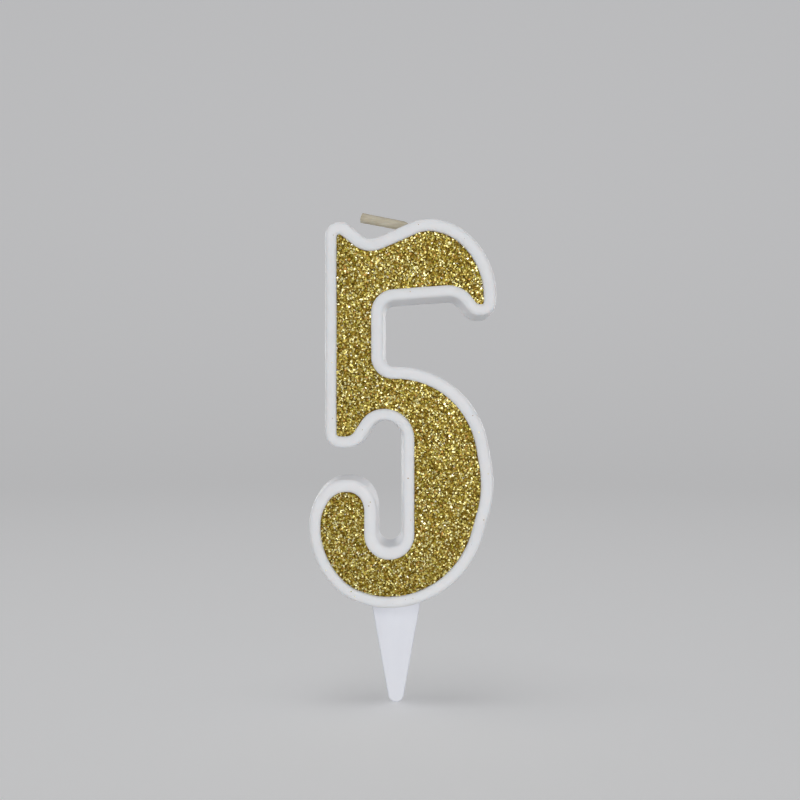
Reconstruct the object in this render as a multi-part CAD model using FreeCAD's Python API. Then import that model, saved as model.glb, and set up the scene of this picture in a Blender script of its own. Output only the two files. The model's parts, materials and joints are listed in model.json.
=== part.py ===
"""Number birthday candle: a cast wax numeral 5 with a raised rim and a glitter face, a wick and a cake pick.

Millimetres. +Z runs up the numeral and its decorated face looks along -Y. The origin is on the pick's axis, at
the bottom of the numeral, where the top of the cake comes, halfway through the numeral's thickness.
"""
import FreeCAD
import Part
import math
import os

# Wax numeral
THICKNESS = 12.0  # front of the rim to the back
RIM_WIDTH = 2.3
RIM_OUTER_ROUND = 0.9
RIM_INNER_ROUND = 0.5
RECESS_SHIFT = (-0.12, -0.12)  # the recess sits this much to the left and low, so the rim's width varies
RECESS_DEPTH = 1.3  # front of the rim to the wax floor inside it
DRAFT_DEG = 1.6  # the casting widens towards its back, so that it leaves its mould
BACK_EDGE_ROUND = 0.4

# Decoration inside the rim
GLUE_THICKNESS = 0.15
GLITTER_THICKNESS = 0.3

# Wick
WICK_DIAMETER = 1.9
WICK_EXIT = (2.2, 74.25)  # x and z of the place where the wick bends, just above the top edge of the wax
WICK_FREE_LENGTH = 9.1
WICK_FOLD_DEG = 11.0  # the folded end points to -X, this much above level
WICK_UPRIGHT_DEG = 79.0  # turn from the folded rest to straight up
WICK_CLEARANCE = 0.2
WICK_ROUTE = ((2.2, 66.0), (-8.0, 60.0), (-8.0, 36.0))  # corners of the cast-in length, then its end
WICK_ROUTE_RADIUS = 6.0

# Cake pick
PICK_LENGTH = 19.3  # below the numeral
PICK_SHOULDER_HALF = 4.78  # half width where the blade leaves the numeral; it tapers straight to the tip
PICK_TIP_RADIUS = 1.6
PICK_THICKNESS = 3.2
PICK_TIP_THICKNESS = 2.0
PICK_CROWN = 0.45  # how far the faces fall away from the middle to the shoulder's edges
SHOULDER_EMBED = 1.2
TANG_HALF = 3.0
TANG_HEIGHT = 8.4
KEY_HOLE_DIAMETER = 2.8
KEY_HOLE_HEIGHT = 4.8

SHORTEST_RUN = 1e-4  # a gap between two rounded corners below this is no run at all
BULGE = 1 - math.sqrt(0.5)  # gap between a quarter round's middle and its square corner, along each side

FRONT = -THICKNESS / 2
BACK = THICKNESS / 2
SHOULDER = FRONT + RIM_OUTER_ROUND  # where the side wall meets the rim's rounding

# Outline of the numeral at the shoulder, clockwise from the front: x, z and radius of each rounded corner.
OUTLINE = (
    # left end of the top bar, then the valley beside it
    (-13.63, 74.45, 2.8), (-9.8, 74.45, 2.85), (-5.2, 70.75, 3.0),
    # hump and tip of the arm
    (5.9, 75.6, 9.0), (12.2, 73.9, 11.5), (17.1, 69.1, 15.5), (19.35, 63.1, 14.0),
    (19.35, 56.35, 2.7), (14.65, 56.35, 2.9),
    # underside of the arm and the notch
    (11.75, 60.14, 3.3), (-2.35, 59.1, 2.2), (-2.35, 46.6, 1.95),
    # bowl, from its top round to its foot
    (5.1, 46.6, 18.0), (13.0, 41.8, 17.0), (17.2, 35.0, 18.0), (18.8, 26.0, 26.0), (18.8, 20.9, 20.0),
    (15.7, 9.9, 19.5), (10.65, 3.9, 18.2), (3.2, 0.0, 18.4), (-4.24, 0.0, 15.5), (-9.98, 2.07, 11.1),
    (-14.4, 6.6, 16.5), (-16.72, 12.7, 16.4),
    # ball that ends the bowl
    (-16.72, 18.9, 10.2), (-14.1, 23.2, 7.0), (-11.1, 24.8, 5.9), (-5.9, 24.8, 5.3), (-3.7, 20.4, 6.9),
    # inside of the bowl, and the toe of the stem
    (-3.7, 11.75, 2.5), (1.37, 11.75, 2.5), (1.37, 36.22, 3.6), (-3.72, 36.22, 2.75),
    (-7.28, 30.88, 4.2), (-13.63, 30.88, 2.9),
)


def direction(start, end):
    """Unit vector in the XZ plane from one corner to the next."""
    length = math.hypot(end[0] - start[0], end[1] - start[1])
    return ((end[0] - start[0]) / length, (end[1] - start[1]) / length)


def right_of(heading):
    """Unit vector at a right angle to a heading, on its right-hand side as seen from the front."""
    return (heading[1], -heading[0])


def rounded_corners(corners):
    """Centre, signed radius and the two unit spokes of each corner's arc.

    The radius is positive where the outline bulges outwards and negative in a hollow, so an inset is just
    taken off it and every inset copy keeps the same centres.
    """
    arcs = []
    for i, corner in enumerate(corners):
        arriving = direction(corners[i - 1], corner)
        leaving = direction(corner, corners[(i + 1) % len(corners)])
        turn = arriving[0] * leaving[1] - arriving[1] * leaving[0]
        dot = arriving[0] * leaving[0] + arriving[1] * leaving[1]
        tangent = corner[2] * math.tan(math.acos(dot) / 2)
        side = 1.0 if turn < 0 else -1.0
        normal_in = right_of(arriving)
        normal_out = right_of(leaving)
        centre = (
            corner[0] - arriving[0] * tangent + side * corner[2] * normal_in[0],
            corner[1] - arriving[1] * tangent + side * corner[2] * normal_in[1],
        )
        arcs.append((centre, side * corner[2], normal_in, normal_out))
    return arcs


def outline_wire(inset, y, shift=(0.0, 0.0)):
    """The numeral's outline as a closed wire in the plane Y = y, moved inwards by inset, then by shift."""
    spans = []
    for centre, radius, normal_in, normal_out in rounded_corners(OUTLINE):
        reach = inset - radius
        middle = FreeCAD.Vector(normal_in[0] + normal_out[0], 0, normal_in[1] + normal_out[1]).normalize()
        hub = FreeCAD.Vector(centre[0] + shift[0], y, centre[1] + shift[1])
        start = hub + FreeCAD.Vector(normal_in[0], 0, normal_in[1]) * reach
        end = hub + FreeCAD.Vector(normal_out[0], 0, normal_out[1]) * reach
        spans.append((start, hub + middle * reach, end))
    edges = []
    for i, (start, middle, end) in enumerate(spans):
        edges.append(Part.Arc(start, middle, end).toShape())
        next_start = spans[(i + 1) % len(spans)][0]
        if end.distanceToPoint(next_start) > SHORTEST_RUN:
            edges.append(Part.LineSegment(end, next_start).toShape())
    return Part.Wire(edges)


def recess_plate(near, far):
    """Straight-sided plate that fills the recess between two planes of Y."""
    return Part.Face(outline_wire(RIM_WIDTH, near, RECESS_SHIFT)).extrude(FreeCAD.Vector(0, far - near, 0))


def drafted_inset(y):
    """Inset of the side wall at a depth, nought at the shoulder."""
    return (SHOULDER - y) * math.tan(math.radians(DRAFT_DEG))


def outer_section():
    """Steps of the casting's edge, from the flat back round the side and over the rim to its crest.

    Each point is an inset and a depth; two points are a straight step and three are a round one.
    """
    side_end = BACK - BACK_EDGE_ROUND
    side_inset = drafted_inset(side_end)
    return (
        ((side_inset + BACK_EDGE_ROUND, BACK),
         (side_inset + BACK_EDGE_ROUND * BULGE, BACK - BACK_EDGE_ROUND * BULGE),
         (side_inset, side_end)),
        ((side_inset, side_end), (0, SHOULDER)),
        ((0, SHOULDER),
         (RIM_OUTER_ROUND * BULGE, FRONT + RIM_OUTER_ROUND * BULGE),
         (RIM_OUTER_ROUND, FRONT)),
    )


def inner_section():
    """Steps of the recess's edge, from the rim's crest down to the wax floor."""
    return (
        ((RIM_WIDTH - RIM_INNER_ROUND, FRONT),
         (RIM_WIDTH - RIM_INNER_ROUND * BULGE, FRONT + RIM_INNER_ROUND * BULGE),
         (RIM_WIDTH, FRONT + RIM_INNER_ROUND)),
        ((RIM_WIDTH, FRONT + RIM_INNER_ROUND), (RIM_WIDTH, FRONT + RECESS_DEPTH)),
    )


def section_edge(step, hub, radius, spoke):
    """One step of a section, stood on the outline where an arc has this hub, signed radius and spoke."""
    points = [hub + spoke * (inset - radius) + FreeCAD.Vector(0, y, 0) for inset, y in step]
    if len(points) == 2:
        return Part.LineSegment(points[0], points[1]).toShape()
    return Part.Arc(points[0], points[1], points[2]).toShape()


def swept_faces(section, shift=(0.0, 0.0)):
    """The section turned about each corner's centre and drawn along each straight run between corners."""
    faces = []
    arcs = rounded_corners(OUTLINE)
    for i, (centre, radius, normal_in, normal_out) in enumerate(arcs):
        hub = FreeCAD.Vector(centre[0] + shift[0], 0, centre[1] + shift[1])
        spoke_in = FreeCAD.Vector(normal_in[0], 0, normal_in[1])
        spoke_out = FreeCAD.Vector(normal_out[0], 0, normal_out[1])
        turn = math.degrees(spoke_in.getAngle(spoke_out)) * (1 if radius > 0 else -1)
        next_centre, next_radius, next_normal = arcs[(i + 1) % len(arcs)][:3]
        next_hub = FreeCAD.Vector(next_centre[0] + shift[0], 0, next_centre[1] + shift[1])
        next_spoke = FreeCAD.Vector(next_normal[0], 0, next_normal[1])
        run = (next_hub - next_spoke * next_radius) - (hub - spoke_out * radius)
        for step in section:
            turned = section_edge(step, hub, radius, spoke_in)
            faces.append(turned.revolve(hub, FreeCAD.Vector(0, 1, 0), turn))
            if run.Length > SHORTEST_RUN:
                faces.append(section_edge(step, hub, radius, spoke_out).extrude(run))
    return faces


def make_casting():
    """The whole wax casting with its rim and recess, before the wick and the pick are cast into it."""
    back_inset = outer_section()[0][0][0]
    crest_edges = [
        outline_wire(RIM_OUTER_ROUND, FRONT),
        outline_wire(RIM_WIDTH - RIM_INNER_ROUND, FRONT, RECESS_SHIFT),
    ]
    faces = [
        Part.Face(outline_wire(back_inset, BACK)),
        Part.makeFace(crest_edges, "Part::FaceMakerBullseye"),
        Part.Face(outline_wire(RIM_WIDTH, FRONT + RECESS_DEPTH, RECESS_SHIFT)),
    ]
    faces += swept_faces(outer_section())
    faces += swept_faces(inner_section(), RECESS_SHIFT)
    shell = Part.makeShell(faces)
    shell.sewShape()
    casting = Part.Solid(Part.Shell(shell.Faces))
    if casting.Volume < 0:
        casting.reverse()
    return casting


def make_glue_film():
    """Binder on the floor of the recess."""
    floor = FRONT + RECESS_DEPTH
    return recess_plate(floor - GLUE_THICKNESS, floor)


def make_glitter_coat():
    """Layer of flakes on the binder, as one plate."""
    base = FRONT + RECESS_DEPTH - GLUE_THICKNESS
    return recess_plate(base - GLITTER_THICKNESS, base)


def make_pick():
    """Tapered blade with a crowned face on each side, and the keyed tang that the wax holds."""
    tip_drop = PICK_LENGTH - PICK_TIP_RADIUS
    lean = math.atan2(PICK_SHOULDER_HALF, tip_drop)
    lean -= math.asin(PICK_TIP_RADIUS / math.hypot(PICK_SHOULDER_HALF, tip_drop))
    tip_x = PICK_TIP_RADIUS * math.cos(lean)
    tip_z = -tip_drop - PICK_TIP_RADIUS * math.sin(lean)
    left_side = [
        FreeCAD.Vector(-tip_x, 0, tip_z),
        FreeCAD.Vector(-PICK_SHOULDER_HALF, 0, 0),
        FreeCAD.Vector(-PICK_SHOULDER_HALF, 0, SHOULDER_EMBED),
        FreeCAD.Vector(-TANG_HALF, 0, SHOULDER_EMBED),
        FreeCAD.Vector(-TANG_HALF, 0, TANG_HEIGHT),
    ]
    right_side = [FreeCAD.Vector(-p.x, 0, p.z) for p in reversed(left_side)]
    edges = Part.makePolygon(left_side + right_side).Edges
    tip = Part.Arc(right_side[-1], FreeCAD.Vector(0, 0, -PICK_LENGTH), left_side[0])
    front_view = Part.Face(Part.Wire(edges + [tip.toShape()]))
    front_view.translate(FreeCAD.Vector(0, -PICK_THICKNESS, 0))
    blade = front_view.extrude(FreeCAD.Vector(0, 2 * PICK_THICKNESS, 0))

    half = PICK_THICKNESS / 2
    tip_half = PICK_TIP_THICKNESS / 2
    side_points = [
        FreeCAD.Vector(0, -tip_half, -PICK_LENGTH), FreeCAD.Vector(0, -half, 0),
        FreeCAD.Vector(0, -half, TANG_HEIGHT), FreeCAD.Vector(0, half, TANG_HEIGHT),
        FreeCAD.Vector(0, half, 0), FreeCAD.Vector(0, tip_half, -PICK_LENGTH),
        FreeCAD.Vector(0, -tip_half, -PICK_LENGTH),
    ]
    side_view = Part.Face(Part.makePolygon(side_points))
    side_view.translate(FreeCAD.Vector(-PICK_SHOULDER_HALF, 0, 0))
    wedge = side_view.extrude(FreeCAD.Vector(2 * PICK_SHOULDER_HALF, 0, 0))

    edge_half = half - PICK_CROWN
    reach = PICK_SHOULDER_HALF
    corners = [FreeCAD.Vector(x, y, -PICK_LENGTH) for x, y in (
        (-reach, -edge_half), (reach, -edge_half), (reach, edge_half), (-reach, edge_half))]
    section = Part.Wire([
        Part.Arc(corners[0], FreeCAD.Vector(0, -half, -PICK_LENGTH), corners[1]).toShape(),
        Part.LineSegment(corners[1], corners[2]).toShape(),
        Part.Arc(corners[2], FreeCAD.Vector(0, half, -PICK_LENGTH), corners[3]).toShape(),
        Part.LineSegment(corners[3], corners[0]).toShape(),
    ])
    crowned = Part.Face(section).extrude(FreeCAD.Vector(0, 0, PICK_LENGTH + TANG_HEIGHT))

    key_hole = Part.makeCylinder(
        KEY_HOLE_DIAMETER / 2, 2 * PICK_THICKNESS,
        FreeCAD.Vector(0, -PICK_THICKNESS, KEY_HOLE_HEIGHT), FreeCAD.Vector(0, 1, 0))
    return blade.common(wedge).common(crowned).cut(key_hole)


def wick_arm(radius, length, turned_deg):
    """Round arm with a ball at the bend, at a turn from the folded rest towards upright."""
    angle = math.radians(180 - WICK_FOLD_DEG - turned_deg)
    bend = FreeCAD.Vector(WICK_EXIT[0], 0, WICK_EXIT[1])
    heading = FreeCAD.Vector(math.cos(angle), 0, math.sin(angle))
    arm = Part.makeCylinder(radius, length, bend, heading)
    return arm.fuse(Part.makeSphere(radius, bend)).removeSplitter()


def make_wick_mouth():
    """Room for the bend of the wick, and for its free arm at both ends of its turn."""
    radius = WICK_DIAMETER / 2 + WICK_CLEARANCE
    folded = wick_arm(radius, WICK_FREE_LENGTH, 0)
    upright = wick_arm(radius, WICK_FREE_LENGTH, WICK_UPRIGHT_DEG)
    return folded.fuse(upright)


def make_wick_root():
    """Cast-in length of the wick, from its bend down through the top bar and into the stem."""
    points = [FreeCAD.Vector(x, 0, z) for x, z in (WICK_EXIT,) + WICK_ROUTE]
    edges = []
    start = points[0]
    for before, corner, after in zip(points, points[1:], points[2:]):
        arriving = (corner - before).normalize()
        leaving = (after - corner).normalize()
        half_turn = arriving.getAngle(leaving) / 2
        tangent = WICK_ROUTE_RADIUS * math.tan(half_turn)
        arc_start = corner - arriving * tangent
        arc_end = corner + leaving * tangent
        inward = (leaving - arriving).normalize()
        centre = corner + inward * (WICK_ROUTE_RADIUS / math.cos(half_turn))
        arc_middle = centre - inward * WICK_ROUTE_RADIUS
        edges.append(Part.LineSegment(start, arc_start).toShape())
        edges.append(Part.Arc(arc_start, arc_middle, arc_end).toShape())
        start = arc_end
    edges.append(Part.LineSegment(start, points[-1]).toShape())
    section = Part.Wire(Part.makeCircle(WICK_DIAMETER / 2, points[0], FreeCAD.Vector(0, 0, -1)))
    return Part.Wire(edges).makePipeShell([section], True, False).cut(make_wick_mouth())


def main():
    os.makedirs("parts", exist_ok=True)
    pick = make_pick()
    wick_root = make_wick_root()
    wax = make_casting().cut(pick).cut(wick_root).cut(make_wick_mouth())
    nodes = {
        "wax_numeral": wax,
        "glue_film": make_glue_film(),
        "glitter_coat": make_glitter_coat(),
        "cake_pick": pick,
        "wick_root": wick_root,
        "wick_tip": wick_arm(WICK_DIAMETER / 2, WICK_FREE_LENGTH, 0),
    }
    for name, shape in nodes.items():
        solids = shape.Solids
        if len(solids) != 1 or not solids[0].isValid():
            raise RuntimeError("%s is not one valid solid" % name)
        solids[0].exportStep("parts/%s.step" % name)
        box = solids[0].BoundBox
        print("%-14s volume %8.2f  x %.2f..%.2f  y %.2f..%.2f  z %.2f..%.2f" % (
            name, solids[0].Volume, box.XMin, box.XMax, box.YMin, box.YMax, box.ZMin, box.ZMax))


main()
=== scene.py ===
import json
import math

import bmesh
import bpy
import numpy as np
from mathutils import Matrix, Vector, noise
from mathutils.geometry import delaunay_2d_cdt


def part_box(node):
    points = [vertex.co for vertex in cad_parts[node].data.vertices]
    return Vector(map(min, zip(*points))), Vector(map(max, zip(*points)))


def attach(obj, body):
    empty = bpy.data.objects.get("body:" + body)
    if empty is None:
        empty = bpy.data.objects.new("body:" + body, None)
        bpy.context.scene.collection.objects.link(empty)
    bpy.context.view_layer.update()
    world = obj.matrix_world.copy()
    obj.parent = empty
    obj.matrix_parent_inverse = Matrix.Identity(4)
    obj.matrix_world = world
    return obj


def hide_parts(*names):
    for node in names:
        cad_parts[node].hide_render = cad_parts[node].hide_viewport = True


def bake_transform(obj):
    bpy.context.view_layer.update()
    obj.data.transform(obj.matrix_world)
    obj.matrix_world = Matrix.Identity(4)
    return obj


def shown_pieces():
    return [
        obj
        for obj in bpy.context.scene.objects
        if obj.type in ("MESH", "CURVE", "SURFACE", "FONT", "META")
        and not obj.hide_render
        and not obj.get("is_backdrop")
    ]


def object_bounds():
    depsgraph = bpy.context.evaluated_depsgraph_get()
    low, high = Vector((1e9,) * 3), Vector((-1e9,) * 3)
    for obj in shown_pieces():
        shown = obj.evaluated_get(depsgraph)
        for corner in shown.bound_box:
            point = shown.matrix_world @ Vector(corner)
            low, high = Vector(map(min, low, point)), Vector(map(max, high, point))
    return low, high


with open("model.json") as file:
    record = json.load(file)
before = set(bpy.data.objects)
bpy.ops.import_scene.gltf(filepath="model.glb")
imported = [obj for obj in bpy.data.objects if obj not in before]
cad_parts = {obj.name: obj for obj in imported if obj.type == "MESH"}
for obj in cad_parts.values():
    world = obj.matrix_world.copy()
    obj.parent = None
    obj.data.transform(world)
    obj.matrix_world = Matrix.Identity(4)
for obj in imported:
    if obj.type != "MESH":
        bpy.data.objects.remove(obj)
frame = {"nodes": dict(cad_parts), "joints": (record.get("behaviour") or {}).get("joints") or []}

cad_low, cad_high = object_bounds()

MM = 0.001
DRAW = np.random.default_rng(5)

# ------------------------------------------------------------------ sizes, in millimetres
wax_low, wax_high = (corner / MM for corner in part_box("wax_numeral"))
coat_low, coat_high = (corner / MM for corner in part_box("glitter_coat"))
film_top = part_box("glue_film")[1] / MM
pick_low, pick_high = (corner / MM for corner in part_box("cake_pick"))
bend = next(joint for joint in frame["joints"] if joint["name"] == "wick_bend")

FRONT = wax_low.y
BACK = wax_high.y
FLOOR_OF_RECESS = film_top.y
RIM_WIDTH = 2.3
RIM_OUTER_ROUND = 0.9
RIM_INNER_ROUND = 0.5
RIM_SQUARENESS = 2.5
RECESS_SHIFT = np.array((-0.12, -0.12))
DRAFT = math.tan(math.radians(1.6))
BACK_EDGE_ROUND = 0.4
SIDE_START = FRONT + RIM_OUTER_ROUND
BACK_SINK = 0.32
BACK_SINK_WIDTH = 3.2
BACK_RING_INSETS = (1.9, 1.4, 0.9, 0.5)

# Outline of the numeral, clockwise from the front: x, z and radius of each rounded corner, as in the CAD.
OUTLINE = (
    (-13.63, 74.45, 2.8), (-9.8, 74.45, 2.85), (-5.2, 70.75, 3.0),
    (5.9, 75.6, 9.0), (12.2, 73.9, 11.5), (17.1, 69.1, 15.5), (19.35, 63.1, 14.0),
    (19.35, 56.35, 2.7), (14.65, 56.35, 2.9),
    (11.75, 60.14, 3.3), (-2.35, 59.1, 2.2), (-2.35, 46.6, 1.95),
    (5.1, 46.6, 18.0), (13.0, 41.8, 17.0), (17.2, 35.0, 18.0), (18.8, 26.0, 26.0), (18.8, 20.9, 20.0),
    (15.7, 9.9, 19.5), (10.65, 3.9, 18.2), (3.2, 0.0, 18.4), (-4.24, 0.0, 15.5), (-9.98, 2.07, 11.1),
    (-14.4, 6.6, 16.5), (-16.72, 12.7, 16.4),
    (-16.72, 18.9, 10.2), (-14.1, 23.2, 7.0), (-11.1, 24.8, 5.9), (-5.9, 24.8, 5.3), (-3.7, 20.4, 6.9),
    (-3.7, 11.75, 2.5), (1.37, 11.75, 2.5), (1.37, 36.22, 3.6), (-3.72, 36.22, 2.75),
    (-7.28, 30.88, 4.2), (-13.63, 30.88, 2.9),
)

# Unevenness of the wax: height, size of the features and seed of each ripple.
WAX_RIPPLES = ((0.045, 9.0, 1.0), (0.014, 2.2, 7.0))
BACK_RIPPLE = (0.05, 3.5, 13.0)
BACK_RIPPLE_DEPTH = 1.0
PICK_RIPPLES = ((0.02, 5.0, 3.0), (0.005, 1.3, 9.0))

# Steps of the meshes: the widest turn from point to point round any corner, and the casting's own.
CORNER_STEP_DEG = 9
CASTING_STEP = 0.36
BACK_EDGE_STEPS = 5
SIDE_RINGS = 27
RIM_RINGS = 25

# Glitter: the bed of deep flakes, the top flakes, and the strays on the rim.
BED_THICKNESS = 0.12
BED_UNEVENNESS = 0.05
RECESS_STEP = 0.4
FLAKE_SPACING = 0.235
FLAKE_RADII = (0.15, 0.235)
FLAKE_CORNERS = (0.72, 1.12)
FLAKE_THICKNESS = 0.04
FLAKE_SINK = (-0.12, 0.02)
FLAKE_TILT_DEG = 13.0
STEEP_SHARE = 0.3
STEEP_TILT_DEG = 50.0
STRAY_COUNT = 26
STRAY_INSETS = (0.75, 1.7)
STRAY_RADII = (0.08, 0.13)
STRAY_RISE = 0.02

WICK_RADIUS = 0.95
WICK_EXIT = np.array((bend["pos_m"][0], bend["pos_m"][2])) / MM
WICK_FREE_LENGTH = 9.1
WICK_FOLD_DEG = 11.0
WICK_ROUTE = np.array(((-8.0, 36.0), (-8.0, 60.0), (2.2, 66.0)))
WICK_BEND_RADII = (6.0, 6.0, 1.15)
WICK_STEP = 0.16
WICK_POINTS_ROUND = 56
WICK_CUT_LENGTH = 1.2

# Surface of the cord: braid, strands, lumps of wax, and the cut end with its slant.
CORD_SHRINK = 0.025
FREE_END_SWELL = 0.03
BRAID_COUNT = 4
BRAID_TWIST = 2.1
BRAID_DEPTH = 0.022
STRAND_COUNT = 18
STRAND_DEPTH = 0.012
LUMP_HEIGHT = 0.02
CUT_SWELL = 0.02
CUT_SWELL_REACH = 0.35
CUT_SLANT = (0.06, -0.16)
TUFT_HEIGHT = 0.05
# Rings that close the cut end: share of the cord's radius and how far each stands out.
WICK_END_RINGS = ((0.93, 0.05), (0.72, 0.03), (0.45, 0.055), (0.2, 0.03))

# Wax that creeps up the wick where it leaves the numeral.
COLLAR_HEIGHT = 0.3
COLLAR_WIDTH = 0.55
COLLAR_REACH = 2.6
COLLAR_DROP = 2.25

PICK_SHOULDER_HALF = 4.78
PICK_TIP_RADIUS = 1.6
PICK_THICKNESS = 3.2
PICK_TIP_THICKNESS = 2.0
PICK_CROWN = 0.45
SHOULDER_EMBED = 1.2
TANG_HALF = 3.0
KEY_HOLE_RADIUS = 1.4
KEY_HOLE_HEIGHT = 4.8
PICK_EDGE_ROUND = 0.42
PICK_STEP = 0.3
KEY_HOLE_SIDES = 40
# Parting line round the pick's edge: depth and how far it stands proud.
PARTING_LINE = ((-0.08, 0.0), (-0.03, 0.03), (0.03, 0.03), (0.08, 0.0))

# ------------------------------------------------------------------ studio, in metres and watts
FLOOR_REACH = 0.6
COVE_RADIUS = 0.5
WALL_TOP = 0.9
STAGE_SIDES = 96
CAMERA_PLACE = (0.00079, -0.2347, 0.04009)
CAMERA_LENS = 53.56
LIGHT_AIM = Vector((0.0, 0.0, 0.035))
LIGHTS = (
    # name, place, size, power, whether it lights only the candle
    ("strip", (0.06, -0.50, 0.04), (0.10, 0.50), 0.45, True),
    ("key", (-0.22, -0.44, 0.24), (0.12, 0.12), 0.22, True),
    ("left", (-0.34, -0.34, -0.10), (0.16, 0.36), 0.30, True),
    ("right", (0.36, -0.32, -0.04), (0.16, 0.36), 0.38, True),
    ("low", (0.00, -0.34, -0.30), (0.30, 0.20), 0.20, True),
    ("rear_left", (-0.32, 0.42, 0.14), (0.40, 0.40), 0.95, True),
    ("rear_right", (0.32, 0.42, 0.14), (0.40, 0.40), 0.95, True),
    ("top", (-0.06, -0.06, 0.60), (0.30, 0.30), 0.55, False),
)
# Brightness of the dome, from behind the candle to behind the camera.
DOME_FACING = (0.0, -0.97, 0.24)
DOME_STOPS = (
    (0.0, (0.12, 0.12, 0.123)), (0.45, (0.14, 0.14, 0.143)), (0.75, (0.24, 0.24, 0.246)),
    (1.0, (0.40, 0.40, 0.41)),
)


# ------------------------------------------------------------------ outlines
def heading(start, end):
    """Unit vector from start to end."""
    run = np.subtract(end, start)
    return run / np.hypot(*run)


def sampled_outline(corners, step):
    """Points along the rounded outline and their unit normals into the shape, as n by 2 arrays.

    Moving every point along its normal gives the outline inset, so one set of samples serves every ring.
    """
    points = []
    normals = []
    ends = []
    for i, corner in enumerate(corners):
        arriving = heading(corners[i - 1][:2], corner[:2])
        leaving = heading(corner[:2], corners[(i + 1) % len(corners)][:2])
        turn = math.acos(float(arriving @ leaving))
        side = 1.0 if arriving[0] * leaving[1] - arriving[1] * leaving[0] < 0 else -1.0
        normal_in = np.array((arriving[1], -arriving[0]))
        start = np.array(corner[:2]) - arriving * corner[2] * math.tan(turn / 2)
        hub = start + normal_in * side * corner[2]
        by_angle = math.ceil(math.degrees(turn) / CORNER_STEP_DEG)
        count = max(2, math.ceil(corner[2] * turn / step), by_angle)
        for angle in np.linspace(0, turn, count + 1) * -side:
            c, s = math.cos(angle), math.sin(angle)
            normal = np.array((c * normal_in[0] - s * normal_in[1], s * normal_in[0] + c * normal_in[1]))
            points.append(hub - normal * side * corner[2])
            normals.append(normal)
        ends.append(len(points))
    full_points = []
    full_normals = []
    begin = 0
    for end in ends:
        full_points += points[begin:end]
        full_normals += normals[begin:end]
        following = points[end % len(points)]
        run = following - points[end - 1]
        count = math.ceil(np.hypot(*run) / step)
        for k in range(1, count):
            full_points.append(points[end - 1] + run * k / count)
            full_normals.append(normals[end - 1])
        begin = end
    return np.array(full_points), np.array(full_normals)


def inside(points, loop):
    """Which of the points lie inside the closed loop."""
    result = np.zeros(len(points), bool)
    x, z = points[:, 0], points[:, 1]
    for a, b in zip(loop, np.roll(loop, -1, axis=0)):
        crosses = (a[1] > z) != (b[1] > z)
        if crosses.any():
            at = a[0] + (z - a[1]) / ((b[1] - a[1]) or 1e-12) * (b[0] - a[0])
            result ^= crosses & (x < at)
    return result


def distance_to(points, loop):
    """Distance of each point to the nearest of the loop's own points."""
    nearest = np.full(len(points), 1e9)
    for begin in range(0, len(loop), 100):
        part = loop[begin:begin + 100]
        gap = np.hypot(points[:, None, 0] - part[None, :, 0], points[:, None, 1] - part[None, :, 1])
        nearest = np.minimum(nearest, gap.min(axis=1))
    return nearest


def scattered(loop, spacing, margin, jitter):
    """A jittered triangular grid of points inside the loop, no nearer to it than the margin."""
    low, high = loop.min(axis=0), loop.max(axis=0)
    row_gap = spacing * math.sqrt(3) / 2
    rows = np.arange(low[1], high[1], row_gap)
    columns = np.arange(low[0], high[0], spacing)
    grid = np.array([(x + (k % 2) * spacing / 2, z) for k, z in enumerate(rows) for x in columns])
    grid += DRAW.uniform(-jitter, jitter, grid.shape) * spacing
    grid = grid[inside(grid, loop)]
    return grid[distance_to(grid, loop) > margin]


def triangulated(loop, inner_points, hole=None):
    """Triangles that fill the loop through the inner points; the loop's own points keep their order."""
    count = len(loop)
    all_points = [loop, inner_points]
    edges = [(i, (i + 1) % count) for i in range(count)]
    if hole is not None:
        first = count + len(inner_points)
        all_points.append(hole)
        edges += [(first + i, first + (i + 1) % len(hole)) for i in range(len(hole))]
    coords = np.concatenate([part for part in all_points if len(part)])
    found, _, faces, origins, _, _ = delaunay_2d_cdt([Vector(p) for p in coords], edges, [], 0, 1e-6)
    place = {}
    for new, old in enumerate(origins):
        for source in old:
            place[source] = new
    order = [place[i] for i in range(len(coords))]
    back = {new: old for old, new in reversed(list(enumerate(order)))}
    centres = np.array([np.mean([found[i][:] for i in face], axis=0) for face in faces])
    kept = inside(centres, loop)
    if hole is not None:
        kept &= ~inside(centres, hole)
    return coords, [[back[i] for i in face] for face, keep in zip(faces, kept) if keep]


# ------------------------------------------------------------------ meshes
def add_mesh(name, verts_mm, faces, materials, face_slots=None, smooth=True):
    """New object at the origin from vertices in millimetres; face_slots is the material of each face."""
    mesh = bpy.data.meshes.new(name)
    mesh.from_pydata((np.asarray(verts_mm) * MM).tolist(), [], faces)
    for material in materials:
        mesh.materials.append(material)
    if face_slots is not None:
        mesh.polygons.foreach_set("material_index", np.asarray(face_slots, np.int32))
    mesh.polygons.foreach_set("use_smooth", np.full(len(mesh.polygons), smooth))
    mesh.validate()
    mesh.update()
    obj = bpy.data.objects.new(name, mesh)
    bpy.context.scene.collection.objects.link(obj)
    return obj


def face_outwards(obj):
    """Turns every face of a closed mesh outwards."""
    work = bmesh.new()
    work.from_mesh(obj.data)
    bmesh.ops.recalc_face_normals(work, faces=work.faces)
    work.to_mesh(obj.data)
    work.free()
    obj.data.update()


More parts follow.
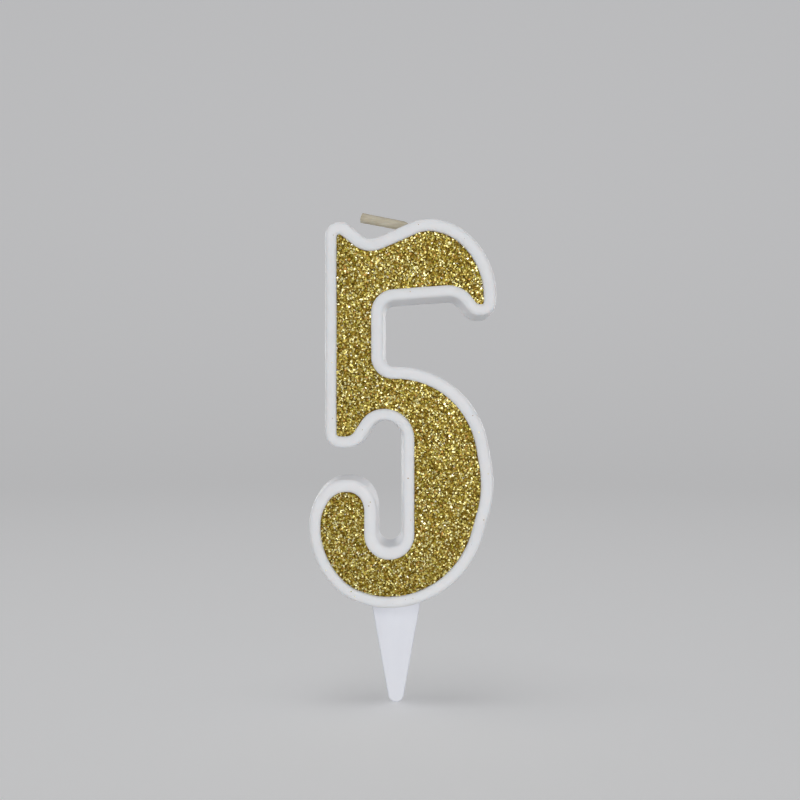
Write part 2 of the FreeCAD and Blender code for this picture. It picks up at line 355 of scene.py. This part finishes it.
class Skin:
    """Collects rings and fills into one closed mesh."""

    def __init__(self):
        self.verts = []
        self.faces = []

    def add_ring(self, flat, depth):
        """Adds points at x, z with their depth; returns their indices."""
        first = len(self.verts)
        depths = np.broadcast_to(depth, len(flat))
        self.verts += [(x, y, z) for (x, z), y in zip(flat, depths)]
        return list(range(first, first + len(flat)))

    def bridge(self, one, other):
        """Joins two closed rings of the same length with quads."""
        count = len(one)
        for i in range(count):
            j = (i + 1) % count
            self.faces.append((one[i], one[j], other[j], other[i]))

    def fill(self, ring, loop, inner, depth_of, hole=None, hole_ring=None):
        """Fills inside a ring already added, with inner points at a depth worked out by depth_of."""
        coords, triangles = triangulated(loop, inner, hole)
        first = len(self.verts)
        self.verts += [(x, y, z) for (x, z), y in zip(inner, depth_of(inner))]
        place = list(ring) + list(range(first, first + len(inner))) + list(hole_ring or [])
        self.faces += [[place[i] for i in triangle] for triangle in triangles]


def ripple(point, size, seed):
    """Smooth noise from about -1 to 1 with features of that size in millimetres."""
    return noise.noise(Vector(point) / size + Vector((seed, 0, 0)))


def rippled(point, ripples):
    """Sum of several ripples, each a height, size and seed."""
    return sum(height * ripple(point, size, seed) for height, size, seed in ripples)


def displace_along_normals(obj, height_of):
    """Moves each vertex along its normal by height_of(point), both in millimetres."""
    mesh = obj.data
    count = len(mesh.vertices)
    places = np.empty(count * 3)
    mesh.vertices.foreach_get("co", places)
    normals = np.empty(count * 3)
    mesh.vertices.foreach_get("normal", normals)
    places = places.reshape(-1, 3)
    normals = normals.reshape(-1, 3)
    heights = np.array([height_of(p) for p in places / MM])
    places += normals * heights[:, None] * MM
    mesh.vertices.foreach_set("co", places.ravel())
    mesh.update()


def quarter_round(start, end, steps):
    """Points of a quarter round from start, where it runs along the depth, to end, without both ends.

    Each point is (inset, depth).
    """
    found = []
    for angle in np.linspace(0, math.pi / 2, steps + 1)[1:-1]:
        inset = start[0] + (end[0] - start[0]) * (1 - math.cos(angle))
        depth = start[1] + (end[1] - start[1]) * math.sin(angle)
        found.append((inset, depth))
    return found


# ------------------------------------------------------------------ materials
def new_material(name):
    """Node material, with its tree and its shader."""
    material = bpy.data.materials.new(name)
    material.use_nodes = True
    nodes = material.node_tree.nodes
    shader = nodes["Principled BSDF"]
    return material, material.node_tree, shader


def object_coords(tree):
    """Coordinates that stay with the object, in metres."""
    return tree.nodes.new("ShaderNodeTexCoord").outputs["Object"]


def set_subsurface(shader, weight, radius, scale):
    """Light that sinks in: its share, its relative reach by colour, and the reach in metres."""
    shader.inputs["Subsurface Weight"].default_value = weight
    shader.inputs["Subsurface Radius"].default_value = radius
    shader.inputs["Subsurface Scale"].default_value = scale


def add_noise(tree, coords, scale, detail=3.0, roughness=0.55, stretch=None):
    """Noise texture; scale is features per metre, stretch an optional scale along each axis."""
    texture = tree.nodes.new("ShaderNodeTexNoise")
    texture.inputs["Scale"].default_value = scale
    texture.inputs["Detail"].default_value = detail
    texture.inputs["Roughness"].default_value = roughness
    source = coords
    if stretch is not None:
        mapping = tree.nodes.new("ShaderNodeMapping")
        mapping.inputs["Scale"].default_value = stretch
        tree.links.new(coords, mapping.inputs["Vector"])
        source = mapping.outputs["Vector"]
    tree.links.new(source, texture.inputs["Vector"])
    return texture


def add_ramp(tree, factor, stops):
    """Colour that runs through the stops, each a position and a colour."""
    ramp = tree.nodes.new("ShaderNodeValToRGB")
    elements = ramp.color_ramp.elements
    while len(elements) < len(stops):
        elements.new(0.5)
    for element, (position, color) in zip(elements, stops):
        element.position = position
        element.color = (*color, 1.0)
    tree.links.new(factor, ramp.inputs["Fac"])
    return ramp.outputs["Color"]


def add_range(tree, value, low, high, source_low=0.3, source_high=0.7):
    """Value between low and high, as the source goes from source_low to source_high."""
    node = tree.nodes.new("ShaderNodeMapRange")
    node.inputs["From Min"].default_value = source_low
    node.inputs["From Max"].default_value = source_high
    node.inputs["To Min"].default_value = low
    node.inputs["To Max"].default_value = high
    tree.links.new(value, node.inputs["Value"])
    return node.outputs["Result"]


def add_bump(tree, shader, height, strength, distance, under=None):
    """Bump for the shader, over an earlier one if given; distance is in metres."""
    bump = tree.nodes.new("ShaderNodeBump")
    bump.inputs["Strength"].default_value = strength
    bump.inputs["Distance"].default_value = distance
    tree.links.new(height, bump.inputs["Height"])
    if under is not None:
        tree.links.new(under, bump.inputs["Normal"])
    tree.links.new(bump.outputs["Normal"], shader.inputs["Normal"])
    return bump.outputs["Normal"]


def wax_material():
    """White paraffin: a soft sheen, light that sinks in a little, faint mottling and a fine skin."""
    material, tree, shader = new_material("white_wax")
    coords = object_coords(tree)
    mottle = add_noise(tree, coords, 160.0, detail=4.0)
    color = add_ramp(tree, mottle.outputs["Fac"], (
        (0.30, (0.850, 0.856, 0.872)), (0.50, (0.880, 0.886, 0.902)), (0.72, (0.902, 0.907, 0.920))))
    tree.links.new(color, shader.inputs["Base Color"])
    bloom = add_noise(tree, coords, 900.0, detail=5.0)
    tree.links.new(add_range(tree, bloom.outputs["Fac"], 0.28, 0.40), shader.inputs["Roughness"])
    skin = add_noise(tree, coords, 2600.0, detail=3.0)
    swell = add_noise(tree, coords, 420.0, detail=2.0)
    under = add_bump(tree, shader, swell.outputs["Fac"], strength=0.22, distance=0.00012)
    add_bump(tree, shader, skin.outputs["Fac"], strength=0.12, distance=0.00003, under=under)
    set_subsurface(shader, 0.9, (1.0, 0.9, 0.85), 0.0018)
    shader.inputs["IOR"].default_value = 1.44
    return material


def binder_material():
    """Clear glue over the wax, tinted dark by the gold that lies in it."""
    material, tree, shader = new_material("clear_binder")
    coords = object_coords(tree)
    streak = add_noise(tree, coords, 1500.0, detail=4.0)
    color = add_ramp(tree, streak.outputs["Fac"], ((0.3, (0.16, 0.10, 0.02)), (0.7, (0.34, 0.25, 0.07))))
    tree.links.new(color, shader.inputs["Base Color"])
    shader.inputs["Roughness"].default_value = 0.25
    add_bump(tree, shader, streak.outputs["Fac"], strength=0.4, distance=0.0001)
    return material


def bed_material():
    """The deep flakes, seen between the top ones: dark gold cells at every tilt."""
    material, tree, shader = new_material("glitter_bed_gold")
    coords = object_coords(tree)
    cells = tree.nodes.new("ShaderNodeTexVoronoi")
    cells.inputs["Scale"].default_value = 3600.0
    tree.links.new(coords, cells.inputs["Vector"])
    split = tree.nodes.new("ShaderNodeSeparateColor")
    tree.links.new(cells.outputs["Color"], split.inputs["Color"])
    color = add_ramp(tree, split.outputs["Red"], (
        (0.0, (0.08, 0.048, 0.003)), (0.45, (0.17, 0.11, 0.008)), (0.8, (0.28, 0.195, 0.02)),
        (1.0, (0.40, 0.31, 0.05))))
    tree.links.new(color, shader.inputs["Base Color"])
    roughness = add_range(tree, split.outputs["Green"], 0.25, 0.55, source_low=0, source_high=1)
    tree.links.new(roughness, shader.inputs["Roughness"])
    shader.inputs["Metallic"].default_value = 1.0
    add_bump(tree, shader, split.outputs["Blue"], strength=0.8, distance=0.00012)
    return material


FLAKE_TONES = (
    # name, colour of the metal, roughness, share of the flakes
    ("deep", (0.165, 0.096, 0.007), 0.38, 0.23),
    ("brown", (0.290, 0.195, 0.022), 0.34, 0.26),
    ("mid", (0.470, 0.355, 0.070), 0.32, 0.16),
    ("light", (0.72, 0.62, 0.195), 0.28, 0.14),
    ("pale", (0.96, 0.89, 0.45), 0.24, 0.11),
    ("olive", (0.38, 0.335, 0.042), 0.34, 0.05),
    ("copper", (0.46, 0.255, 0.060), 0.32, 0.04),
    ("spark", (0.99, 0.95, 0.74), 0.18, 0.01),
)


def flake_material(name, color, roughness):
    """Metallised film under clear binder: one flat colour per flake, faintly crinkled."""
    material, tree, shader = new_material("gold_flake_" + name)
    shader.inputs["Base Color"].default_value = (*color, 1.0)
    shader.inputs["Metallic"].default_value = 1.0
    coords = object_coords(tree)
    crinkle = add_noise(tree, coords, 3500.0, detail=2.0)
    varied = add_range(tree, crinkle.outputs["Fac"], roughness * 0.8, roughness * 1.3)
    tree.links.new(varied, shader.inputs["Roughness"])
    add_bump(tree, shader, crinkle.outputs["Fac"], strength=0.25, distance=0.00003)
    shader.inputs["Coat Weight"].default_value = 0.1
    shader.inputs["Coat Roughness"].default_value = 0.2
    return material


def cotton_material():
    """Cream cotton soaked in wax: fibres along the cord, paler where the wax is thicker."""
    material, tree, shader = new_material("waxed_cotton")
    coords = object_coords(tree)
    fibre = add_noise(tree, coords, 1000.0, detail=5.0, stretch=(0.35, 3.2, 3.2))
    patch = add_noise(tree, coords, 420.0, detail=3.0)
    mixed = tree.nodes.new("ShaderNodeMix")
    mixed.inputs["Factor"].default_value = 0.45
    # Inputs 2 and 3 of this node are the plain numbers that it mixes.
    tree.links.new(fibre.outputs["Fac"], mixed.inputs[2])
    tree.links.new(patch.outputs["Fac"], mixed.inputs[3])
    color = add_ramp(tree, mixed.outputs[0], (
        (0.30, (0.48, 0.425, 0.31)), (0.48, (0.60, 0.54, 0.41)), (0.68, (0.69, 0.64, 0.515))))
    tree.links.new(color, shader.inputs["Base Color"])
    tree.links.new(add_range(tree, patch.outputs["Fac"], 0.42, 0.68), shader.inputs["Roughness"])
    add_bump(tree, shader, fibre.outputs["Fac"], strength=0.35, distance=0.00006)
    set_subsurface(shader, 0.25, (1.0, 0.8, 0.5), 0.0004)
    return material


def pick_material():
    """White moulded plastic with a satin face and faint flow marks along the blade."""
    material, tree, shader = new_material("white_plastic")
    coords = object_coords(tree)
    flow = add_noise(tree, coords, 260.0, detail=3.0, stretch=(1.6, 1.6, 0.35))
    color = add_ramp(tree, flow.outputs["Fac"], (
        (0.3, (0.868, 0.884, 0.955)), (0.7, (0.895, 0.912, 0.980))))
    tree.links.new(color, shader.inputs["Base Color"])
    grain = add_noise(tree, coords, 5200.0, detail=2.0)
    tree.links.new(add_range(tree, flow.outputs["Fac"], 0.36, 0.46), shader.inputs["Roughness"])
    under = add_bump(tree, shader, flow.outputs["Fac"], strength=0.12, distance=0.0001)
    add_bump(tree, shader, grain.outputs["Fac"], strength=0.1, distance=0.00002, under=under)
    set_subsurface(shader, 0.2, (1.0, 0.95, 0.9), 0.0006)
    return material


def floor_material():
    """Pale matt paper that glows a little, so that no light has to fall hard on it."""
    material, tree, shader = new_material("studio_floor")
    shader.inputs["Base Color"].default_value = (0.80, 0.805, 0.815, 1.0)
    shader.inputs["Roughness"].default_value = 0.9
    shader.inputs["Emission Color"].default_value = (1.0, 1.0, 1.0, 1.0)
    shader.inputs["Emission Strength"].default_value = 0.25
    return material


# ------------------------------------------------------------------ wax numeral
def casting_rings():
    """(inset, depth, share of the recess's shift) of each ring, from the back to the recess floor."""
    side_end = BACK - BACK_EDGE_ROUND
    side_inset = (SIDE_START - side_end) * DRAFT
    rings = [(side_inset + BACK_EDGE_ROUND, BACK)]
    rings += quarter_round(rings[0], (side_inset, side_end), BACK_EDGE_STEPS)
    for depth in np.linspace(side_end, SIDE_START, SIDE_RINGS):
        rings.append(((SIDE_START - depth) * DRAFT, depth))
    middle = RIM_WIDTH / 2
    for angle in np.linspace(0, math.pi, RIM_RINGS)[1:]:
        across = middle * abs(math.cos(angle)) ** (2 / RIM_SQUARENESS)
        drop = 1 - math.sin(angle) ** (2 / RIM_SQUARENESS)
        if angle < math.pi / 2:
            rings.append((middle - across, FRONT + RIM_OUTER_ROUND * drop))
        else:
            rings.append((middle + across, FRONT + RIM_INNER_ROUND * drop))
    rings.append((RIM_WIDTH, (FRONT + RIM_INNER_ROUND + FLOOR_OF_RECESS) / 2))
    rings.append((RIM_WIDTH, FLOOR_OF_RECESS))
    return [(inset, depth, min(1.0, max(0.0, inset / RIM_WIDTH) ** 2)) for inset, depth in rings]


def back_depth(gap):
    """Depth of the poured back at a distance from its edge: it sinks as the wax cools."""
    share = np.clip(gap / BACK_SINK_WIDTH, 0, 1)
    return BACK - BACK_SINK * share * share * (3 - 2 * share)


def wax_unevenness(point):
    """How far the wax stands proud of its ideal shape at a point."""
    height = rippled(point, WAX_RIPPLES)
    if point[1] > BACK - BACK_RIPPLE_DEPTH:
        height += rippled(point, (BACK_RIPPLE,))
    around = math.hypot(point[0] - WICK_EXIT[0], point[1])
    if around < COLLAR_REACH and point[2] > WICK_EXIT[1] - COLLAR_DROP:
        height += COLLAR_HEIGHT * math.exp(-((around - WICK_RADIUS) / COLLAR_WIDTH) ** 2)
    return height


def make_casting(material):
    """The numeral as one closed skin: sunk back, drafted side, bead and recess."""
    points, normals = sampled_outline(OUTLINE, CASTING_STEP)
    skin = Skin()
    rings = casting_rings()
    edge_inset = rings[0][0]
    edge_loop = points + normals * edge_inset
    previous = None
    for inset in BACK_RING_INSETS:
        ring = skin.add_ring(points + normals * inset, float(back_depth(inset - edge_inset)))
        if previous is None:
            loop = points + normals * inset
            inner = scattered(loop, spacing=0.8, margin=0.45, jitter=0.18)
            skin.fill(ring, loop, inner, lambda flat: back_depth(distance_to(flat, edge_loop)))
        else:
            skin.bridge(previous, ring)
        previous = ring
    for inset, depth, share in rings:
        ring = skin.add_ring(points + normals * inset + RECESS_SHIFT * share, depth)
        skin.bridge(previous, ring)
        previous = ring
    loop = points + normals * RIM_WIDTH + RECESS_SHIFT
    inner = scattered(loop, spacing=2.2, margin=1.0, jitter=0.1)
    skin.fill(previous, loop, inner, lambda flat: np.full(len(flat), FLOOR_OF_RECESS))
    obj = add_mesh("wax_casting", skin.verts, skin.faces, [material])
    face_outwards(obj)
    displace_along_normals(obj, wax_unevenness)
    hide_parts("wax_numeral")
    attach(obj, "numeral")


# ------------------------------------------------------------------ glitter
def recess_loop():
    """The recess's wall as a closed loop."""
    points, normals = sampled_outline(OUTLINE, RECESS_STEP)
    return points + normals * RIM_WIDTH + RECESS_SHIFT


def make_glitter_bed(material):
    """Bumpy closed sheet of the deeper flakes."""
    loop = recess_loop()
    skin = Skin()
    lower = skin.add_ring(loop, coat_high.y)
    inner = scattered(loop, spacing=2.2, margin=1.0, jitter=0.1)
    skin.fill(lower, loop, inner, lambda flat: np.full(len(flat), coat_high.y))
    top = coat_high.y - BED_THICKNESS
    upper = skin.add_ring(loop, top)
    skin.bridge(lower, upper)
    inner = scattered(loop, spacing=0.42, margin=0.2, jitter=0.3)

    def uneven_top(flat):
        """Random depth for each point of the bed's top."""
        return top + DRAW.uniform(-BED_UNEVENNESS, BED_UNEVENNESS, len(flat))

    skin.fill(upper, loop, inner, uneven_top)
    obj = add_mesh("glitter_bed", skin.verts, skin.faces, [material], smooth=False)
    face_outwards(obj)
    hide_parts("glitter_coat")
    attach(obj, "numeral")


def flake_frame(count):
    """Random directions for flakes: unit normals near -Y and two unit edges for each."""
    usual = math.radians(FLAKE_TILT_DEG)
    tilt = np.abs(DRAW.normal(0, usual, count))
    steep = DRAW.random(count) < STEEP_SHARE
    tilt[steep] = DRAW.uniform(usual, math.radians(STEEP_TILT_DEG), steep.sum())
    turn = DRAW.uniform(0, 2 * math.pi, count)
    normal = np.stack((np.sin(tilt) * np.cos(turn), -np.cos(tilt), np.sin(tilt) * np.sin(turn)), axis=1)
    roll = DRAW.uniform(0, math.pi, count)
    across = np.cross(normal, (0.0, 0.0, 1.0))
    across /= np.linalg.norm(across, axis=1)[:, None]
    along = np.cross(normal, across)
    first = across * np.cos(roll)[:, None] + along * np.sin(roll)[:, None]
    second = np.cross(normal, first)
    return normal, first, second


def flake_solids(centres, normal, first, second, radius):
    """Closed hexagonal flakes, flat above and a little pointed below, as vertices and faces."""
    angles = np.arange(6) * math.pi / 3
    rim = first[:, None, :] * np.cos(angles)[None, :, None]
    rim = rim + second[:, None, :] * np.sin(angles)[None, :, None]
    rim *= radius[:, None, None] * DRAW.uniform(*FLAKE_CORNERS, (len(centres), 6))[:, :, None]
    below = centres - normal * FLAKE_THICKNESS
    verts = np.concatenate((centres[:, None, :] + rim, below[:, None, :]), axis=1)
    faces = []
    for base in range(0, len(centres) * 7, 7):
        faces.append(tuple(base + i for i in range(6)))
        faces += [(base + (i + 1) % 6, base + i, base + 6) for i in range(6)]
    return verts.reshape(-1, 3), faces


def add_flakes(name, flat, top, radii, materials):
    """Flakes at those x, z places, each with its frontmost point at about its depth in top."""
    count = len(flat)
    shares = np.array([tone[3] for tone in FLAKE_TONES])
    edges = np.cumsum(shares / shares.sum())
    radius = DRAW.uniform(*radii, count)
    normal, first, second = flake_frame(count)
    depth = top + radius * np.hypot(normal[:, 0], normal[:, 2])
    centres = np.stack((flat[:, 0], depth, flat[:, 1]), axis=1)
    verts, faces = flake_solids(centres, normal, first, second, radius)
    # Each flake is one hexagon and six triangles, all in one tone.
    tones = np.repeat(np.searchsorted(edges, DRAW.random(count)).clip(0, len(edges) - 1), 7)
    obj = add_mesh(name, verts, faces, materials, tones, smooth=False)
    face_outwards(obj)
    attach(obj, "numeral")


def make_flakes(materials):
    """The top flakes at many tilts and in several golds, and the few that strayed onto the rim."""
    loop = recess_loop()
    flat = scattered(loop, FLAKE_SPACING, margin=0.1, jitter=0.42)
    flat = flat[DRAW.permutation(len(flat))]
    for number, part in enumerate(np.array_split(flat, 3), start=1):
        top = coat_low.y + DRAW.uniform(*FLAKE_SINK, len(part))
        add_flakes("glitter_flakes_%d" % number, part, top, FLAKE_RADII, materials)
    points, normals = sampled_outline(OUTLINE, RECESS_STEP)
    chosen = DRAW.choice(len(points), STRAY_COUNT, replace=False)
    stray = points[chosen] + normals[chosen] * DRAW.uniform(*STRAY_INSETS, STRAY_COUNT)[:, None]
    top = np.full(STRAY_COUNT, FRONT - STRAY_RISE)
    add_flakes("glitter_strays", stray, top, STRAY_RADII, materials)


# ------------------------------------------------------------------ wick
def wick_path():
    """Middle line of the wick from its cast-in end, as x, z points and the length up to each."""
    arm = np.array((-math.cos(math.radians(WICK_FOLD_DEG)), math.sin(math.radians(WICK_FOLD_DEG))))
    corners = list(WICK_ROUTE) + [WICK_EXIT, WICK_EXIT + arm * WICK_FREE_LENGTH]
    line = [corners[0]]
    for before, corner, after, radius in zip(corners, corners[1:], corners[2:], WICK_BEND_RADII):
        arriving, leaving = heading(before, corner), heading(corner, after)
        half_turn = math.acos(float(arriving @ leaving)) / 2
        start = corner - arriving * radius * math.tan(half_turn)
        inward = (leaving - arriving) / np.hypot(*(leaving - arriving))
        hub = corner + inward * radius / math.cos(half_turn)
        spoke = start - hub
        sense = 1.0 if arriving[0] * leaving[1] - arriving[1] * leaving[0] > 0 else -1.0
        for angle in np.linspace(0, 2 * half_turn, 15) * sense:
            c, s = math.cos(angle), math.sin(angle)
            line.append(hub + np.array((c * spoke[0] - s * spoke[1], s * spoke[0] + c * spoke[1])))
    line.append(corners[-1])
    line = np.array(line)
    travelled = np.concatenate(([0], np.cumsum(np.hypot(*np.diff(line, axis=0).T))))
    at = np.linspace(0, travelled[-1], math.ceil(travelled[-1] / WICK_STEP))
    even_line = np.stack([np.interp(at, travelled, line[:, axis]) for axis in (0, 1)], axis=1)
    return even_line, at


def wick_radius(theta, along, to_end):
    """Radius of the cord at an angle round it: braid, strands, lumps of wax and a swollen cut end."""
    radius = WICK_RADIUS - CORD_SHRINK
    radius += FREE_END_SWELL * min(1.0, max(0.0, 1 - to_end / WICK_FREE_LENGTH))
    twist = BRAID_TWIST * along
    braid = math.cos(BRAID_COUNT * theta + twist) * math.cos(BRAID_COUNT * theta - twist)
    radius += BRAID_DEPTH * braid + STRAND_DEPTH * math.cos(STRAND_COUNT * theta)
    lumps = noise.noise(Vector((math.cos(theta) * 2.2, math.sin(theta) * 2.2, along * 0.7)))
    radius += LUMP_HEIGHT * lumps
    return radius + CUT_SWELL * math.exp(-(to_end / CUT_SWELL_REACH) ** 2)


def add_wick_ring(skin, middle, tangent, along, to_end):
    """Adds one ring of the cord, slanted where the cord is cut; returns its indices."""
    first = len(skin.verts)
    x, z = middle
    tx, tz = tangent
    for theta in 2 * math.pi * np.arange(WICK_POINTS_ROUND) / WICK_POINTS_ROUND:
        radius = wick_radius(theta, along, to_end)
        side, depth = math.cos(theta) * radius, math.sin(theta) * radius
        slant = CUT_SLANT[0] * math.cos(theta) + CUT_SLANT[1] * math.sin(theta)
        shift = slant * max(0.0, 1 - to_end / WICK_CUT_LENGTH)
        skin.verts.append((x - tz * side + tx * shift, depth, z + tx * side + tz * shift))
    return list(range(first, len(skin.verts)))


def close_wick_end(skin, last_ring, outward):
    """Closes the cut end with rings that stand out unevenly, as frayed strands do."""
    centre = np.mean([skin.verts[i] for i in last_ring], axis=0)
    previous = last_ring
    for share, lift in WICK_END_RINGS:
        ring = []
        for k, i in enumerate(last_ring):
            tuft = TUFT_HEIGHT * noise.noise(Vector((math.cos(k * 0.9) * 3, share * 9, k * 0.33)))
            ring.append(len(skin.verts))
            spoke = (np.array(skin.verts[i]) - centre) * share
            skin.verts.append(tuple(centre + spoke + outward * (lift + tuft)))
        skin.bridge(previous, ring)
        previous = ring
    skin.faces.append(tuple(previous))


def make_wick(material):
    """Braided cotton cord under a thin coat of wax, cut at a slant."""
    line, at = wick_path()
    tangents = np.gradient(line, axis=0)
    tangents /= np.hypot(*tangents.T)[:, None]
    skin = Skin()
    rings = []
    for middle, tangent, along in zip(line, tangents, at):
        rings.append(add_wick_ring(skin, middle, tangent, along, at[-1] - along))
    for one, other in zip(rings, rings[1:]):
        skin.bridge(one, other)
    skin.faces.append(tuple(rings[0])[::-1])
    close_wick_end(skin, rings[-1], np.array((tangents[-1][0], 0.0, tangents[-1][1])))
    obj = add_mesh("wick_cord", skin.verts, skin.faces, [material])
    face_outwards(obj)
    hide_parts("wick_root", "wick_tip")
    arm = line[-1] - WICK_EXIT
    arm /= np.hypot(*arm)
    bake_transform(obj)


# ------------------------------------------------------------------ pick
def make_pick(material):
    """Moulded blade with rounded edges, a faint parting line, and the tang with its key hole."""
    tip_drop = -pick_low.z - PICK_TIP_RADIUS
    lean = math.atan2(PICK_SHOULDER_HALF, tip_drop)
    lean -= math.asin(PICK_TIP_RADIUS / math.hypot(PICK_SHOULDER_HALF, tip_drop))
    apex = -PICK_SHOULDER_HALF / math.tan(lean)
    # x, z and radius of each corner, clockwise from the front; the blade's sides would meet at the apex.
    corners = (
        (-TANG_HALF, pick_high.z, 0.5), (TANG_HALF, pick_high.z, 0.5),
        (TANG_HALF, SHOULDER_EMBED, 0.25), (PICK_SHOULDER_HALF, SHOULDER_EMBED, 0.5),
        (PICK_SHOULDER_HALF, 0.0, 2.0), (0.0, apex, PICK_TIP_RADIUS), (-PICK_SHOULDER_HALF, 0.0, 2.0),
        (-PICK_SHOULDER_HALF, SHOULDER_EMBED, 0.5), (-TANG_HALF, SHOULDER_EMBED, 0.25),
    )
    points, normals = sampled_outline(corners, PICK_STEP)

    def half_thickness(flat):
        """Half the blade's thickness at x, z points: it tapers to the tip and is crowned across."""
        flat = np.atleast_2d(flat)
        taper = np.clip(flat[:, 1] / pick_low.z, 0, 1)
        half = (PICK_THICKNESS + (PICK_TIP_THICKNESS - PICK_THICKNESS) * taper) / 2
        crowned = PICK_THICKNESS / 2 - PICK_CROWN * (flat[:, 0] / PICK_SHOULDER_HALF) ** 2
        return np.minimum(half, crowned)

    hole_angles = np.linspace(0, 2 * math.pi, KEY_HOLE_SIDES, endpoint=False)
    hole = np.stack((KEY_HOLE_RADIUS * np.cos(hole_angles),
                     KEY_HOLE_HEIGHT + KEY_HOLE_RADIUS * np.sin(hole_angles)), axis=1)
    loop = points + normals * PICK_EDGE_ROUND
    inner = scattered(loop, spacing=0.42, margin=0.22, jitter=0.1)
    inner = inner[np.hypot(inner[:, 0], inner[:, 1] - KEY_HOLE_HEIGHT) > KEY_HOLE_RADIUS + 0.2]
    skin = Skin()
    hole_rings = []
    edge_rings = []
    for face in (-1, 1):
        rings = []
        for angle in np.linspace(0, math.pi / 2, 7):
            flat = points + normals * PICK_EDGE_ROUND * (1 - math.sin(angle))
            drop = PICK_EDGE_ROUND * (1 - math.cos(angle))
            rings.append(skin.add_ring(flat, face * (half_thickness(loop) - drop)))
        for one, other in zip(rings, rings[1:]):
            skin.bridge(one, other)
        hole_ring = skin.add_ring(hole, face * half_thickness(hole))
        skin.fill(rings[0], loop, inner, lambda flat, f=face: f * half_thickness(flat), hole, hole_ring)
        hole_rings.append(hole_ring)
        edge_rings.append(rings[-1])
    skin.bridge(*hole_rings)
    previous = edge_rings[0]
    for depth, proud in PARTING_LINE:
        ring = skin.add_ring(points - normals * proud, depth)
        skin.bridge(previous, ring)
        previous = ring
    skin.bridge(previous, edge_rings[1])
    obj = add_mesh("cake_pick_blade", skin.verts, skin.faces, [material])
    face_outwards(obj)
    displace_along_normals(obj, lambda point: rippled(point, PICK_RIPPLES))
    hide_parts("cake_pick")
    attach(obj, "numeral")


# ------------------------------------------------------------------ studio
def make_stage(material):
    """Round floor that curves up into a low wall, all in one pale tone."""
    level = cad_low.z
    profile = [(0.25, level), (FLOOR_REACH, level)]
    for angle in np.linspace(0.15, math.pi / 2, 12):
        radius = FLOOR_REACH + COVE_RADIUS * math.sin(angle)
        profile.append((radius, level + COVE_RADIUS * (1 - math.cos(angle))))
    profile.append((FLOOR_REACH + COVE_RADIUS, level + WALL_TOP))
    turns = np.arange(STAGE_SIDES) * 2 * math.pi / STAGE_SIDES
    verts = [(0.0, 0.0, level)]
    rings = []
    faces = []
    for radius, z in profile:
        rings.append(range(len(verts), len(verts) + STAGE_SIDES))
        verts += [(radius * math.cos(turn), radius * math.sin(turn), z) for turn in turns]
    for k in range(STAGE_SIDES):
        j = (k + 1) % STAGE_SIDES
        faces.append((0, rings[0][k], rings[0][j]))
        faces += [(one[k], other[k], other[j], one[j]) for one, other in zip(rings, rings[1:])]
    stage = add_mesh("studio_cove", np.array(verts) / MM, faces, [material])
    # Only the camera and mirrored rays see the stage. It puts no diffuse light on the candle and casts no
    # shadow, so the lights below the floor reach the candle.
    stage.visible_diffuse = False
    stage.visible_shadow = False
    stage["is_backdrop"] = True


def make_lights():
    """Soft boxes aimed at the middle of the candle; all but the top one light only the candle."""
    candle = bpy.data.collections.new("candle")
    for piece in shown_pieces():
        candle.objects.link(piece)
    for name, place, size, power, candle_only in LIGHTS:
        light = bpy.data.lights.new(name, "AREA")
        light.shape = "RECTANGLE"
        light.size, light.size_y = size
        light.energy = power
        obj = bpy.data.objects.new(name, light)
        obj.location = place
        obj.rotation_euler = (LIGHT_AIM - Vector(place)).to_track_quat("-Z", "Y").to_euler()
        obj.visible_camera = False
        if candle_only:
            obj.light_linking.receiver_collection = candle
        bpy.context.scene.collection.objects.link(obj)


def make_world():
    """Dome that is bright around the camera's side and dims behind the candle."""
    world = bpy.data.worlds.new("studio")
    bpy.context.scene.world = world
    world.use_nodes = True
    tree = world.node_tree
    background = tree.nodes["Background"]
    coords = tree.nodes.new("ShaderNodeTexCoord").outputs["Generated"]
    facing = tree.nodes.new("ShaderNodeVectorMath")
    facing.operation = "DOT_PRODUCT"
    facing.inputs[1].default_value = DOME_FACING
    tree.links.new(coords, facing.inputs[0])
    share = add_range(tree, facing.outputs["Value"], 0.0, 1.0, source_low=-1.0, source_high=1.0)
    color = add_ramp(tree, share, DOME_STOPS)
    tree.links.new(color, background.inputs["Color"])
    background.inputs["Strength"].default_value = 1.0


def make_camera():
    """Level with the middle of the numeral and close in front of it, as in the photo."""
    camera = bpy.data.cameras.new("camera")
    camera.lens = CAMERA_LENS
    camera.sensor_width = 36.0
    camera.clip_start = 0.01
    obj = bpy.data.objects.new("camera", camera)
    obj.location = CAMERA_PLACE
    obj.rotation_euler = (math.pi / 2, 0, 0)
    bpy.context.scene.collection.objects.link(obj)
    bpy.context.scene.camera = obj


def main():
    """Builds the candle's looks and its studio; the lights come after the pieces they are linked to."""
    make_camera()
    make_casting(wax_material())
    frame["nodes"]["glue_film"].data.materials.clear()
    frame["nodes"]["glue_film"].data.materials.append(binder_material())
    make_glitter_bed(bed_material())
    make_flakes([flake_material(name, color, roughness) for name, color, roughness, _ in FLAKE_TONES])
    make_wick(cotton_material())
    make_pick(pick_material())
    make_stage(floor_material())
    make_lights()
    make_world()
    bpy.context.scene.view_settings.view_transform = "Standard"


main()
